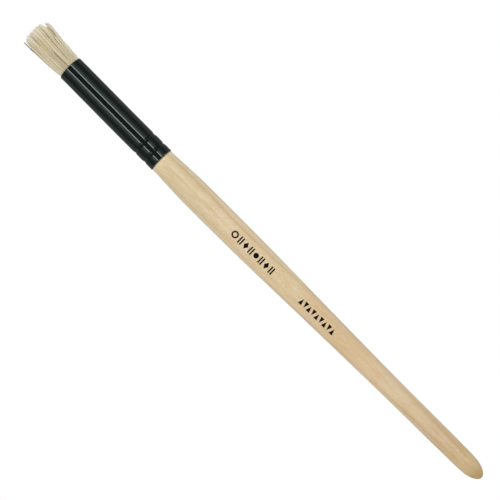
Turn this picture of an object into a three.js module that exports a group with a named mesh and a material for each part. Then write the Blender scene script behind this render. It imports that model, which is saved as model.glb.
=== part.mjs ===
// Round stencil brush: a turned wooden handle with a tenon, a crimped metal ferrule, a cup of
// setting resin, a thread binding and a short stiff tuft of natural bristle in 37 locks.
//
// Millimetres, +Z up. The brush lies along X: +X points out of the bristles' working face and the
// handle runs along -X. The handle's axis is the X axis, and the longest bristles end at X = 0.
// The tuft leans slightly towards -Y.
import * as THREE from 'three';

// ---- driving dimensions (mm) -------------------------------------------------------------------
const SIDES = 24; // facets round each turned piece, one of them facing straight down

// ferrule: a thin tube
const FERRULE_MOUTH_X = -13.79;
const FERRULE_REAR_X = -48.69;
const FERRULE_OUTER_R = 3.7;
const FERRULE_WALL = 0.34;
const FERRULE_INNER_R = FERRULE_OUTER_R - FERRULE_WALL;
const MOUTH_CHAMFER = { length: 0.08, drop: 0.05 }; // on the mouth's outer edge
const REAR_FLARE_R = 3.76;
const REAR_FLARE_LENGTH = 0.7;

// two grooves rolled into the ferrule, with wider and deeper ones in the tenon beneath
const CRIMP_X = [-42.31, -45.85]; // groove centres
const CRIMP_HALF_WIDTH = 0.88;
const CRIMP_DEPTH = 0.18;
const TENON_GROOVE_EXTRA_HALF_WIDTH = 0.12;
const TENON_GROOVE_EXTRA_DEPTH = 0.06;

// groove cross-section, mouth side first: [place along X / half width, depth / full depth]
const GROOVE_SECTION = [
  [1, 0], [0.55, 0.62], [0.18, 1], [-0.18, 1], [-0.55, 0.62], [-1, 0],
];

// handle: [x, radius] down the visible length, from just behind the ferrule to the butt,
// which ends in a small flat
const HANDLE_PROFILE = [
  [-48.84, 3.49], [-51.24, 3.578], [-53.4, 3.692], [-55.56, 3.785], [-57.72, 3.885],
  [-59.88, 3.945], [-63.4, 3.975], [-66.9, 3.985], [-75.0, 3.962], [-79.32, 3.942],
  [-83.64, 3.892], [-92.28, 3.73], [-105.24, 3.47], [-118.2, 3.222], [-131.16, 3.01],
  [-139.8, 2.915], [-152.76, 2.858], [-159.24, 2.795], [-162.48, 2.722], [-164.64, 2.646],
  [-166.0, 2.55], [-167.0, 2.38], [-167.9, 2.12], [-168.7, 1.8], [-169.4, 1.4],
  [-169.95, 0.95], [-170.31, 0.55],
];
const SHOULDER_X = HANDLE_PROFILE[0][0];
const BUTT_X = HANDLE_PROFILE.at(-1)[0];

// the handle's tenon inside the ferrule
const TENON_CLEARANCE = 0.06;
const TENON_R = FERRULE_INNER_R - TENON_CLEARANCE;
const TENON_END_X = -30.9;
const TENON_CHAMFER = 0.6;

// setting resin: a cup, open towards +X, that holds the bristle roots
const RESIN_REAR_X = -30.6;
const RESIN_FLOOR_X = -25.8;
const RESIN_LIP_X = -19.4;
const RESIN_CLEARANCE = 0.05;
const RESIN_WALL = 0.24;
const RESIN_OUTER_R = FERRULE_INNER_R - RESIN_CLEARANCE;
const RESIN_INNER_R = RESIN_OUTER_R - RESIN_WALL;

// thread binding round the bristle roots, inside the resin cup
const THREAD_R = 0.13;
const THREAD_SIDES = 5;
const THREAD_COIL_R = 2.89;
const THREAD_START_X = -25.0;
const THREAD_PITCH = 0.42;
const THREAD_TURNS = 4;
const THREAD_STEPS_PER_TURN = 20;

// bristle tuft: one centre lock, then rings of 6, 12 and 18
// [x, outer radius, offset of the tuft's centre in Y]
const TUFT_STATIONS = [
  [-25.6, 2.7, 0], [-20.0, 2.71, 0], [-15.6, 3.22, 0], [-13.7, 3.28, 0], [-12.2, 3.58, -0.09],
  [-9.6, 3.75, -0.13], [-6.2, 3.98, -0.21], [-2.1, 4.31, -0.39], [0, 4.35, -0.4],
];
const MIN_TIP_SPACING = 0.2; // stations nearer than this to a lock's tip are left out
const LOCKS_PER_RING_STEP = 6; // locks added by each ring outwards
const RING_NAMES = ['inner', 'middle', 'outer'];
const OUTER_RING = RING_NAMES.length;
const LOCK_GAP = 0.05; // between neighbouring locks, where the tuft's radius is LOCK_GAP_AT_R
const LOCK_GAP_AT_R = 4.2;
const FACE_DOME = 0.55; // fall of the working face at DOME_SHARE of the tuft's radius
const DOME_SHARE = 0.86;
const NEAR_Y_AXIS = 0.95; // cosine that picks the two outer locks on either side
const MINUS_Y_DROP = 0.7; // the two on the -Y side are shorter by this
const PLUS_Y_DROP = 1.7; // the two on the +Y side are shorter by this

// ---- materials ---------------------------------------------------------------------------------
const material = ({ color, roughness, metalness = 0 }) =>
  new THREE.MeshStandardMaterial({ color: new THREE.Color(color), roughness, metalness });

const MATERIALS = {
  wood: material({ color: '#dac7a5', roughness: 0.45 }),
  lacquer: material({ color: '#141716', roughness: 0.18, metalness: 0.2 }),
  resin: material({ color: '#b98a3e', roughness: 0.25 }),
  thread: material({ color: '#e6ddc8', roughness: 0.9 }),
  bristle: material({ color: '#c8bb9d', roughness: 0.6 }),
};

// ---- shape helpers -----------------------------------------------------------------------------
function namedMesh(name, geometry, meshMaterial) {
  const mesh = new THREE.Mesh(geometry, meshMaterial);
  mesh.name = name;
  return mesh;
}

// A solid of revolution about X, from [x, radius] points whose outer surface runs towards -X.
// The lathe wants them the other way round and turns about its own Y, so the mesh is rotated to
// lay that along X. Half a facet of start angle puts one facet flat at the bottom.
function turned(name, profile, meshMaterial) {
  const points = profile.map(([x, radius]) => new THREE.Vector2(radius, x)).reverse();
  const geometry = new THREE.LatheGeometry(points, SIDES, Math.PI / SIDES, Math.PI * 2);
  const mesh = namedMesh(name, geometry, meshMaterial);
  mesh.rotation.z = -Math.PI / 2;
  return mesh;
}

// [x, radius] points of both crimp grooves, sunk into a cylinder of the given radius.
function crimpGrooves({ radius, halfWidth, depth }) {
  return CRIMP_X.flatMap((centre) => GROOVE_SECTION.map(
    ([along, sunk]) => [centre + halfWidth * along, radius - depth * sunk],
  ));
}

// Corners of a regular polygon, anticlockwise from the first axis.
function polygon(sides, radius) {
  return Array.from({ length: sides }, (_, i) => {
    const angle = (i / sides) * Math.PI * 2;
    return [radius * Math.cos(angle), radius * Math.sin(angle)];
  });
}

// ---- turned pieces -----------------------------------------------------------------------------
function handle() {
  const profile = [
    [TENON_END_X, 0],
    [TENON_END_X, TENON_R - TENON_CHAMFER],
    [TENON_END_X - TENON_CHAMFER, TENON_R],
    ...crimpGrooves({
      radius: TENON_R,
      halfWidth: CRIMP_HALF_WIDTH + TENON_GROOVE_EXTRA_HALF_WIDTH,
      depth: CRIMP_DEPTH + TENON_GROOVE_EXTRA_DEPTH,
    }),
    [SHOULDER_X, TENON_R],
    ...HANDLE_PROFILE,
    [BUTT_X, 0],
  ];
  return turned('handle', profile, MATERIALS.wood);
}

function ferrule() {
  const grooves = (radius) =>
    crimpGrooves({ radius, halfWidth: CRIMP_HALF_WIDTH, depth: CRIMP_DEPTH });
  const outer = [
    [FERRULE_MOUTH_X, FERRULE_OUTER_R - MOUTH_CHAMFER.drop],
    [FERRULE_MOUTH_X - MOUTH_CHAMFER.length, FERRULE_OUTER_R],
    ...grooves(FERRULE_OUTER_R),
    [FERRULE_REAR_X + REAR_FLARE_LENGTH, FERRULE_OUTER_R],
    [FERRULE_REAR_X, REAR_FLARE_R],
  ];
  const inner = [
    [FERRULE_MOUTH_X, FERRULE_INNER_R],
    ...grooves(FERRULE_INNER_R),
    [FERRULE_REAR_X, FERRULE_INNER_R],
  ];
  // out along the outside, back along the bore, and closed at the mouth
  return turned('ferrule', [...outer, ...inner.reverse(), outer[0]], MATERIALS.lacquer);
}

function resinCup() {
  const profile = [
    [RESIN_FLOOR_X, 0], [RESIN_FLOOR_X, RESIN_INNER_R],
    [RESIN_LIP_X, RESIN_INNER_R], [RESIN_LIP_X, RESIN_OUTER_R],
    [RESIN_REAR_X, RESIN_OUTER_R], [RESIN_REAR_X, 0],
  ];
  return turned('resin_plug', profile, MATERIALS.resin);
}

// ---- thread binding ----------------------------------------------------------------------------
class Winding extends THREE.Curve {
  getPoint(t, target = new THREE.Vector3()) {
    const angle = t * THREAD_TURNS * Math.PI * 2;
    return target.set(
      THREAD_START_X + t * THREAD_TURNS * THREAD_PITCH,
      THREAD_COIL_R * Math.cos(angle),
      THREAD_COIL_R * Math.sin(angle),
    );
  }
}

function bindingThread() {
  const corners = polygon(THREAD_SIDES, THREAD_R).map(([x, y]) => new THREE.Vector2(x, y));
  const section = new THREE.Shape(corners);
  section.closePath();
  const geometry = new THREE.ExtrudeGeometry(section, {
    steps: THREAD_TURNS * THREAD_STEPS_PER_TURN,
    extrudePath: new Winding(),
    bevelEnabled: false,
  });
  return namedMesh('binding_thread', geometry, MATERIALS.thread);
}

// ---- bristle locks -----------------------------------------------------------------------------
// The tuft's cross-section is laid out once, as [y, z] at an outer radius of 1: a hexagonal centre
// lock and rings of sectors. Every station down the tuft is the same layout scaled and shifted, so
// the side walls of a lock are flat between stations and the gaps never close.
const RING_EDGES = [0.143, 0.429, 0.715, 1]; // outer radius of the centre lock and of each ring
const UNIT_GAP = LOCK_GAP / LOCK_GAP_AT_R;

// Corners of a ring sector, pulled in by half a gap on its straight sides, with one more corner
// halfway along its outer edge.
function sector(inner, outer, startAngle, endAngle) {
  const corner = (radius, angle, shift) => [
    radius * Math.cos(angle) - shift * Math.sin(angle),
    radius * Math.sin(angle) + shift * Math.cos(angle),
  ];
  const halfGap = UNIT_GAP / 2;
  return [
    corner(inner, startAngle, halfGap),
    corner(outer, startAngle, halfGap),
    corner(outer, (startAngle + endAngle) / 2, 0),
    corner(outer, endAngle, -halfGap),
    corner(inner, endAngle, -halfGap),
  ];
}

// The tuft's station at any x within its length, interpolated between its neighbours.
function stationAt(x) {
  const next = TUFT_STATIONS.findIndex(([stationX]) => x <= stationX);
  const [x0, radius0, offset0] = TUFT_STATIONS[next - 1];
  const [x1, radius1, offset1] = TUFT_STATIONS[next];
  const share = (x - x0) / (x1 - x0);
  return [x, radius0 + (radius1 - radius0) * share, offset0 + (offset1 - offset0) * share];
}

// A closed solid through the same outline at every station, with a fan at each end. The outline
// runs anticlockwise seen from +X.
function lofted(outline, tipX) {
  const count = outline.length;
  const stations = TUFT_STATIONS.filter(([x]) => x < tipX - MIN_TIP_SPACING);
  stations.push(stationAt(tipX));
  const position = stations.flatMap(([x, radius, offset]) =>
    outline.flatMap(([y, z]) => [x, offset + y * radius, z * radius]));

  const index = [];
  const tipStart = (stations.length - 1) * count;
  for (let start = 0; start < tipStart; start += count) {
    for (let i = 0; i < count; i++) {
      const here = start + i;
      const beside = start + ((i + 1) % count);
      index.push(here, beside, here + count);
      index.push(beside, beside + count, here + count);
    }
  }
  for (let i = 1; i + 1 < count; i++) {
    index.push(0, i + 1, i);
    index.push(tipStart, tipStart + i, tipStart + i + 1);
  }

  const geometry = new THREE.BufferGeometry();
  geometry.setAttribute('position', new THREE.Float32BufferAttribute(position, 3));
  geometry.setIndex(index);
  geometry.computeVertexNormals();
  return geometry;
}

// Where a ring's lock ends: on the domed face, or short of it beside the Y axis.
function ringTipX(ring, angle) {
  const middle = (RING_EDGES[ring - 1] + RING_EDGES[ring]) / 2;
  const domeX = -FACE_DOME * (middle / DOME_SHARE) ** 2;
  if (ring < OUTER_RING) return domeX;
  if (Math.cos(angle) < -NEAR_Y_AXIS) return domeX - MINUS_Y_DROP;
  if (Math.cos(angle) > NEAR_Y_AXIS) return domeX - PLUS_Y_DROP;
  return domeX;
}

function bristleLock(label, outline, tipX) {
  return namedMesh(`bristle_lock_${label}`, lofted(outline, tipX), MATERIALS.bristle);
}

function lockRing(ring) {
  const count = LOCKS_PER_RING_STEP * ring;
  const step = (Math.PI * 2) / count;
  // The inner edges of the first two rings run parallel to the edges they face. The outer ring's
  // corners don't line up with the ring within it, so it starts far enough out to clear them.
  const inner = ring < OUTER_RING
    ? RING_EDGES[ring - 1] + UNIT_GAP / Math.cos(step / 2)
    : (RING_EDGES[ring - 1] + UNIT_GAP) / Math.cos(step / 2);
  return Array.from({ length: count }, (_, i) => {
    const start = i * step;
    const label = `${RING_NAMES[ring - 1]}_${String(i + 1).padStart(2, '0')}`;
    const outline = sector(inner, RING_EDGES[ring], start, start + step);
    return bristleLock(label, outline, ringTipX(ring, start + step / 2));
  });
}

// ---- assembly ----------------------------------------------------------------------------------
const brush = new THREE.Group();
brush.add(handle(), ferrule(), resinCup(), bindingThread());
brush.add(bristleLock('centre', polygon(6, RING_EDGES[0]), 0));
for (let ring = 1; ring <= OUTER_RING; ring++) brush.add(...lockRing(ring));

export default brush;
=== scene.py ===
"""A round stencil brush: turned wooden handle, crimped black ferrule and a tuft of hog bristle.

It lies along X, in the CAD's own axes: +X points out of the bristles' working face, which is near
x = 0, the handle's butt is at the far -X end, and +Z is up. Lengths are in mm and become metres in
add_mesh(). "Rear" means towards the butt. Angles around the brush start at +Z and turn towards +Y.
"""

import math
from types import SimpleNamespace

import bpy
import numpy as np
from mathutils import Matrix, Vector


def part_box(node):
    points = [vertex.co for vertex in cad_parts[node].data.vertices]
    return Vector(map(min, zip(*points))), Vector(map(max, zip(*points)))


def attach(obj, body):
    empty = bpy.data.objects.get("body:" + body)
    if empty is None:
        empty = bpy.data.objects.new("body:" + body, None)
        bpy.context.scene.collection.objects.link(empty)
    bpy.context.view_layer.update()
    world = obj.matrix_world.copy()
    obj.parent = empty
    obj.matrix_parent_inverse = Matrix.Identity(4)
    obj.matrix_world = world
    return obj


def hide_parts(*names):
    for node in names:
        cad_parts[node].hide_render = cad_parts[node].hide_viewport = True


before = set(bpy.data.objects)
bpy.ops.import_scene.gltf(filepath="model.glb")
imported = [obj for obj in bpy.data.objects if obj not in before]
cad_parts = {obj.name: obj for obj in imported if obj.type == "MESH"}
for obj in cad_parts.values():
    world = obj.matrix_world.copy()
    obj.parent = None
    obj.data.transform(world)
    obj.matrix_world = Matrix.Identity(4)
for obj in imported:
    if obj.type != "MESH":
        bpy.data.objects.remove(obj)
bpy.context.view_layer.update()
MM = 0.001  # metres in a millimetre


def cad_span(node):
    """Lowest and highest x of a CAD node, in mm."""
    lo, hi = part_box(node)
    return lo[0] / MM, hi[0] / MM


# ------------------------------------------------------------------------------------------------
# Driving dimensions
# ------------------------------------------------------------------------------------------------
BUTT = cad_span("handle")[0]
REAR, MOUTH = cad_span("ferrule")  # the ferrule's rear rim and the mouth the bristles leave by

TENON_RADIUS = 3.3  # the part of the handle inside the ferrule
FERRULE_RADIUS = 3.70
FERRULE_WALL = 0.34
GROOVES = (-42.31, -45.85)  # x of the two rolled grooves

# (x, sideways shift along Y). The ferrule sits askew on the handle by a fraction of a degree, so
# the middle of the brush wanders by a tenth of a millimetre or so.
BOW = [
    (-171.0, -0.155), (-159.2, -0.132), (-147.9, -0.088), (-132.8, -0.048), (-113.9, 0.001),
    (-95.0, 0.053), (-72.3, 0.100), (-56.0, 0.124), (-49.6, 0.118), (-47.2, 0.090),
    (-40.0, 0.069), (-35.0, 0.051), (-30.2, 0.015), (-25.3, -0.031), (-20.5, -0.071),
    (-16.0, -0.116), (-13.8, -0.118), (-12.4, -0.075), (-10.6, 0.0), (0.0, 0.0),
]

# (x, radius) of the visible handle, from the ferrule to the butt
HANDLE_PROFILE = [
    (-48.84, 3.49), (-51.24, 3.562), (-53.4, 3.676), (-55.56, 3.768), (-57.72, 3.868),
    (-59.88, 3.936), (-63.4, 3.97), (-66.9, 3.985), (-75.0, 3.962), (-79.32, 3.942),
    (-83.64, 3.892), (-92.28, 3.73), (-105.24, 3.47), (-118.2, 3.222), (-131.16, 3.008),
    (-139.8, 2.902), (-152.76, 2.832), (-159.24, 2.786), (-162.48, 2.738), (-164.64, 2.682),
    (-166.0, 2.60), (-167.0, 2.435), (-167.9, 2.175), (-168.7, 1.865), (-169.4, 1.49),
    (-169.95, 1.03), (-170.31, 0.57),
]

# (distance from a groove's middle, share of its full depth)
GROOVE_SECTION = [
    (0.0, 1.0), (0.05, 0.93), (0.12, 0.83), (0.27, 0.63), (0.45, 0.35), (0.63, 0.13),
    (0.88, 0.0), (1.2, 0.0),
]

# (x, radius, sideways shift of the middle) of the bundle of bristle centres
TUFT_STATIONS = [
    (-25.6, 2.62, 0.0), (-20.0, 2.63, 0.0), (-15.6, 3.12, 0.0), (-13.7, 3.27, 0.0),
    (-12.3, 3.57, -0.11), (-11.3, 3.59, -0.06), (-9.7, 3.70, -0.14), (-8.0, 3.80, -0.12),
    (-6.4, 3.90, -0.21), (-4.8, 3.98, -0.27), (-3.7, 4.09, -0.34), (-2.9, 4.16, -0.39),
    (-2.1, 4.22, -0.43), (0.0, 4.27, -0.44),
]

# (place across the tuft from its -Y side to its +Y side, how far the bristles end short of the
# working face)
SIDE_CUT = [
    (-1.0, 1.9), (-0.93, 1.32), (-0.88, 0.98), (-0.80, 0.80), (-0.705, 0.90), (-0.68, 0.45),
    (-0.6, 0.08), (0.34, 0.0), (0.41, 0.42), (0.48, 0.05), (0.6, 0.0), (0.74, 0.10),
    (0.82, 0.5), (0.88, 1.3), (0.94, 2.2), (1.0, 3.0),
]


# ------------------------------------------------------------------------------------------------
# Curves
# ------------------------------------------------------------------------------------------------
def smooth_curve(points):
    """A smooth curve through (x, y) points that never overshoots them."""
    xs, ys = np.array(points, float).T
    steps = np.diff(xs)
    slopes = np.diff(ys) / steps
    tangents = np.zeros(len(xs))
    tangents[0], tangents[-1] = slopes[0], slopes[-1]
    for i in range(1, len(xs) - 1):
        if slopes[i - 1] * slopes[i] > 0:
            before, after = 2 * steps[i] + steps[i - 1], steps[i] + 2 * steps[i - 1]
            tangents[i] = (before + after) / (before / slopes[i - 1] + after / slopes[i])

    def curve(x):
        x = np.clip(np.asarray(x, float), xs[0], xs[-1])
        i = np.clip(np.searchsorted(xs, x, side="right") - 1, 0, len(xs) - 2)
        t = (x - xs[i]) / steps[i]
        return (
            (1 + 2 * t) * (1 - t) ** 2 * ys[i]
            + t * (1 - t) ** 2 * steps[i] * tangents[i]
            + t * t * (3 - 2 * t) * ys[i + 1]
            + t * t * (t - 1) * steps[i] * tangents[i + 1]
        )

    return curve


def rise(x, start, end):
    """0 at start, 1 at end, straight between and level outside. The end may lie below the start."""
    return np.clip((x - start) / (end - start), 0, 1)


def stations(start, *legs):
    """Places from start through each leg's end; a leg is (end, number of places with both ends)."""
    pieces = [np.array([start])]
    for end, count in legs:
        pieces.append(np.linspace(start, end, count)[1:])
        start = end
    return np.concatenate(pieces)


bow = smooth_curve(BOW)
handle_radius = smooth_curve(HANDLE_PROFILE[::-1])
groove_share = smooth_curve(GROOVE_SECTION)
tuft_radius = smooth_curve([(x, radius) for x, radius, _ in TUFT_STATIONS])
tuft_shift = smooth_curve([(x, shift) for x, _, shift in TUFT_STATIONS])
side_cut = smooth_curve(SIDE_CUT)


def groove_depth(x, depth, stretch=1.0):
    """How deep the rolled grooves are at x. stretch widens them."""
    x = np.asarray(x, float)
    return depth * sum(groove_share(np.abs(x - groove) / stretch) for groove in GROOVES)


def turning(x, angle):
    """How far the turned handle is out of round, in mm."""
    lobes = 0.006 * np.sin(2 * angle + 0.05 * x) + 0.004 * np.sin(3 * angle + 1.3 - 0.11 * x)
    tool_rings = 0.003 * np.sin(x * 1.9 + 0.6 * np.sin(x * 0.35))
    return lobes + tool_rings


# ------------------------------------------------------------------------------------------------
# Meshes
# ------------------------------------------------------------------------------------------------
def add_mesh(name, points, faces, material, replaces=None, smooth=True, traits=None):
    """A bowed mesh object from points in mm. traits are per-point numbers by name."""
    points = np.array(points, float)
    points[:, 1] += bow(points[:, 0])
    data = bpy.data.meshes.new(name)
    data.from_pydata((points * MM).tolist(), [], faces)
    data.validate()
    data.polygons.foreach_set("use_smooth", [smooth] * len(data.polygons))
    for trait, values in (traits or {}).items():
        attribute = data.attributes.new(trait, "FLOAT", "POINT")
        attribute.data.foreach_set("value", np.asarray(values, np.float32))
    data.materials.append(material)
    piece = bpy.data.objects.new(name, data)
    bpy.context.scene.collection.objects.link(piece)
    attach(piece, "root")
    if replaces:
        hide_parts(replaces)


def revolve(profile, segments, radius_change):
    """A surface of revolution about X from (x, radius) points: solid when the profile starts and
    ends on the axis, otherwise ring-shaped. radius_change(x, angle, radius) is added to the
    radius. Returns points and faces."""
    solid = profile[0][1] < 1e-9 and profile[-1][1] < 1e-9
    body = profile[1:-1] if solid else profile
    angle = (np.arange(segments) / segments * 2 * math.pi)[None]
    x = np.array([p[0] for p in body])[:, None]
    radius = np.array([p[1] for p in body])[:, None] + 0 * angle
    radius = radius + radius_change(x, angle, radius)
    points = np.stack([x + 0 * angle, radius * np.sin(angle), radius * np.cos(angle)], 2)
    points = points.reshape(-1, 3)
    rows = len(body)
    here = np.arange(rows * segments).reshape(rows, segments)
    beside = np.roll(here, -1, 1)
    faces = []
    for i in range(rows - 1 if solid else rows):
        j = (i + 1) % rows
        faces += np.stack([here[i], here[j], beside[j], beside[i]], 1).tolist()
    if solid:
        first, last = len(points), len(points) + 1
        points = np.vstack([points, [[profile[0][0], 0, 0]], [[profile[-1][0], 0, 0]]])
        faces += [[first, int(here[0][k]), int(beside[0][k])] for k in range(segments)]
        faces += [[last, int(beside[-1][k]), int(here[-1][k])] for k in range(segments)]
    return points, faces


def tube(centres, radii, sides, roll=0.0):
    """A round tube with flat ends along a line of centres. Returns points and faces."""
    along = np.gradient(centres, axis=0)
    along /= np.linalg.norm(along, axis=1)[:, None]
    reference = np.array([0.0, 0.0, 1.0] if abs(along[0][2]) < 0.9 else [0.0, 1.0, 0.0])
    across = np.cross(along, reference)
    across /= np.linalg.norm(across, axis=1)[:, None]
    upright = np.cross(along, across)
    angle = (np.arange(sides) / sides * 2 * math.pi + roll)[None, :, None]
    spokes = np.cos(angle) * across[:, None] + np.sin(angle) * upright[:, None]
    rings = centres[:, None] + radii[:, None, None] * spokes
    here = np.arange(len(centres) * sides).reshape(-1, sides)
    beside = np.roll(here, -1, 1)
    faces = np.stack([here[:-1], beside[:-1], beside[1:], here[1:]], 2).reshape(-1, 4).tolist()
    faces.append(here[0][::-1].tolist())
    faces.append(here[-1].tolist())
    return rings.reshape(-1, 3), faces


# ------------------------------------------------------------------------------------------------
# Node graph helpers
# ------------------------------------------------------------------------------------------------
class Graph:
    """Short calls that add nodes to a tree. Each returns the new node's output socket, and takes
    sockets or plain values as inputs."""

    def __init__(self, tree):
        self.tree = tree
        tree.nodes.clear()

    def node(self, kind):
        return self.tree.nodes.new("ShaderNode" + kind)

    def feed(self, value, socket):
        if isinstance(value, bpy.types.NodeSocket):
            self.tree.links.new(value, socket)
        elif isinstance(value, tuple) and len(value) == 3 and socket.type == "RGBA":
            socket.default_value = (*value, 1.0)
        else:
            socket.default_value = value

    def feed_all(self, node, values):
        for value, socket in zip(values, node.inputs):
            self.feed(value, socket)
        return node.outputs[0]

    def math(self, operation, *values):
        node = self.node("Math")
        node.operation = operation
        return self.feed_all(node, values)

    def plus(self, first, second):
        return self.math("ADD", first, second)

    def times(self, first, second):
        return self.math("MULTIPLY", first, second)

    def swing(self, value, amount):
        """A 0..1 value as a swing to either side of nothing, amount wide in all."""
        return self.times(self.math("SUBTRACT", value, 0.5), amount)

    def vector(self, operation, *values):
        node = self.node("VectorMath")
        node.operation = operation
        return self.feed_all(node, values)

    def xyz(self, value):
        node = self.node("SeparateXYZ")
        self.feed(value, node.inputs[0])
        return tuple(node.outputs)

    def join(self, x, y, z):
        return self.feed_all(self.node("CombineXYZ"), (x, y, z))

    def stretched(self, position, along, across, shift=None):
        """An (x, y, z) position scaled along the brush and across it, then shifted along."""
        x, y, z = position
        if shift is None:
            x = self.times(x, along)
        else:
            x = self.math("MULTIPLY_ADD", x, along, shift)
        return self.join(x, self.times(y, across), self.times(z, across))

    def noise(self, position=None, scale=1.0, detail=3.0, roughness=0.5, distortion=0.0, w=None):
        """Noise over a 3D position, or over the single number w."""
        node = self.node("TexNoise")
        if w is None:
            node.noise_dimensions = "3D"
            self.feed(position, node.inputs["Vector"])
        else:
            node.noise_dimensions = "1D"
            self.feed(w, node.inputs["W"])
        node.inputs["Scale"].default_value = scale
        node.inputs["Detail"].default_value = detail
        node.inputs["Roughness"].default_value = roughness
        node.inputs["Distortion"].default_value = distortion
        return node.outputs["Fac"]

    def ramp(self, factor, stops, ease="LINEAR"):
        """A colour ramp from (position, colour or grey level) stops."""
        node = self.node("ValToRGB")
        node.color_ramp.interpolation = ease
        elements = node.color_ramp.elements
        while len(elements) < len(stops):
            elements.new(0.5)
        for element, (position, level) in zip(elements, stops):
            element.position = position
            colour = level if isinstance(level, tuple) else (level,) * 3
            element.color = (*colour, 1.0)
        self.feed(factor, node.inputs[0])
        return node.outputs[0]

    def mix(self, factor, first, second, blend="MIX"):
        node = self.node("Mix")
        node.data_type, node.blend_type = "RGBA", blend
        node.clamp_factor = True
        self.feed(factor, node.inputs[0])
        self.feed(first, node.inputs[6])  # the node's colour sockets, A and B
        self.feed(second, node.inputs[7])
        return node.outputs[2]

    def multiply(self, colour, tint):
        return self.mix(1.0, colour, tint, "MULTIPLY")

    def tint(self, factor, colour, tint):
        """The colour, multiplied by the tint as far as the factor says."""
        return self.mix(factor, colour, self.multiply(colour, tint))

    def remap(self, value, span, to=(0.0, 1.0)):
        """The span of values stretched onto another, and clamped to it."""
        node = self.node("MapRange")
        node.clamp = True
        return self.feed_all(node, (value, *span, *to))

    def bump(self, height, distance, strength, normal=None):
        node = self.node("Bump")
        node.inputs["Strength"].default_value = strength
        node.inputs["Distance"].default_value = distance
        self.feed(height, node.inputs["Height"])
        if normal is not None:
            self.feed(normal, node.inputs["Normal"])
        return node.outputs[0]

    def attribute(self, name):
        node = self.node("Attribute")
        node.attribute_type, node.attribute_name = "GEOMETRY", name
        return node.outputs["Fac"]


class Material(Graph):
    """The node graph of a new material with one principled shader."""

    INPUTS = {
        "color": "Base Color", "rough": "Roughness", "metal": "Metallic", "normal": "Normal",
        "ior": "IOR", "coat": "Coat Weight", "coat_rough": "Coat Roughness",
        "specular": "Specular IOR Level", "glow": "Emission Color",
        "glow_strength": "Emission Strength",
    }

    def __init__(self, name):
        self.material = bpy.data.materials.new(name)
        self.material.use_nodes = True
        super().__init__(self.material.node_tree)
        output = self.node("OutputMaterial")
        self.shader = self.node("BsdfPrincipled")
        self.tree.links.new(self.shader.outputs[0], output.inputs[0])
        self.coords = self.node("TexCoord").outputs["Object"]

    def millimetres(self):
        return self.vector("MULTIPLY", self.coords, (1000.0, 1000.0, 1000.0))

    def finish(self, **values):
        for key, value in values.items():
            self.feed(value, self.shader.inputs[self.INPUTS[key]])
        return self.material


def srgb(*levels):
    """An 8-bit screen colour as linear light."""
    return tuple(
        (level / 255 / 12.92) if level <= 10 else ((level / 255 + 0.055) / 1.055) ** 2.4
        for level in levels
    )


def within(start, end, stops):
    """(place, value) stops with their places turned into shares of the way from start to end."""
    return [((place - start) / (end - start), value) for place, value in stops]


# ------------------------------------------------------------------------------------------------
# Handle wood
# ------------------------------------------------------------------------------------------------
WOOD_SPAN = (-172.0, -47.0)  # x range of the two tables below

# (x, 8-bit colour), warmer towards the butt and palest just behind the ferrule, where the last stop
# is painted light that lifts the shade of the ferrule's rim
WOOD_COLOURS = [
    (-170.3, (192, 165, 119)), (-167.3, (195, 170, 127)), (-164.4, (201, 176, 136)),
    (-160.3, (199, 173, 133)), (-153.8, (200, 174, 138)), (-144.1, (207, 184, 149)),
    (-135.5, (210, 187, 154)), (-126.8, (211, 187, 151)), (-118.5, (209, 181, 142)),
    (-108.0, (211, 186, 149)), (-97.0, (212, 191, 153)), (-86.0, (213, 192, 156)),
    (-71.2, (214, 193, 160)), (-62.0, (210, 191, 156)), (-54.0, (211, 192, 157)),
    # painted light: the stop at -49.1 is paler to lift the shade and dark reflection by the
    # ferrule's rim
    (-50.4, (212, 193, 158)), (-49.1, (224, 206, 172)),
]

# (x, height of one growth layer above the axis)
LAYER_HEIGHTS = [
    (-168.4, 2.75), (-160.3, 2.60), (-154.9, 2.45), (-149.5, 2.28), (-141.4, 2.02),
    (-133.3, 1.80), (-125.2, 1.58), (-117.1, 1.55), (-109.0, 1.72), (-100.9, 1.92),
    (-95.0, 2.06), (-87.4, 2.58), (-79.3, 3.06), (-71.2, 3.00), (-66.0, 2.80),
    (-61.8, 2.72), (-56.4, 2.60), (-51.0, 2.48), (-48.3, 2.42),
]
LAYER_SCALE = 4.0  # brings the heights within a colour ramp's 0..1

LATE_SPAN = (-7.0, 2.2)  # heights covered by the table below

# (height above that growth layer, darkness of the late wood)
LATE_WOOD = [
    (-6.7, 0.1), (-6.4, 0.6), (-6.2, 0.1), (-5.5, 0.05), (-5.2, 0.8), (-5.0, 0.15),
    (-4.4, 0.05), (-4.1, 0.65), (-3.95, 0.1), (-3.5, 0.05), (-3.22, 0.6), (-3.05, 0.1),
    (-2.6, 0.0), (-2.4, 0.4), (-2.25, 0.05), (-1.75, 0.0), (-1.6, 0.4), (-1.48, 0.05),
    (-1.1, 0.0), (-0.98, 0.3), (-0.88, 0.0), (-0.45, 0.0), (-0.24, 0.4), (0.0, 1.0),
    (0.16, 0.7), (0.4, 0.06), (1.0, 0.03), (1.35, 0.3), (1.6, 0.05),
]

# (how far the surface turns away from the viewer, strength of the painted pale sheen)
PAINTED_EDGE_SHEEN = [
    (0.0, 0.0), (0.2, 0.0), (0.36, 0.13), (0.54, 0.25), (0.70, 0.12), (0.82, 0.0), (1.0, 0.0),
]


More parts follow.
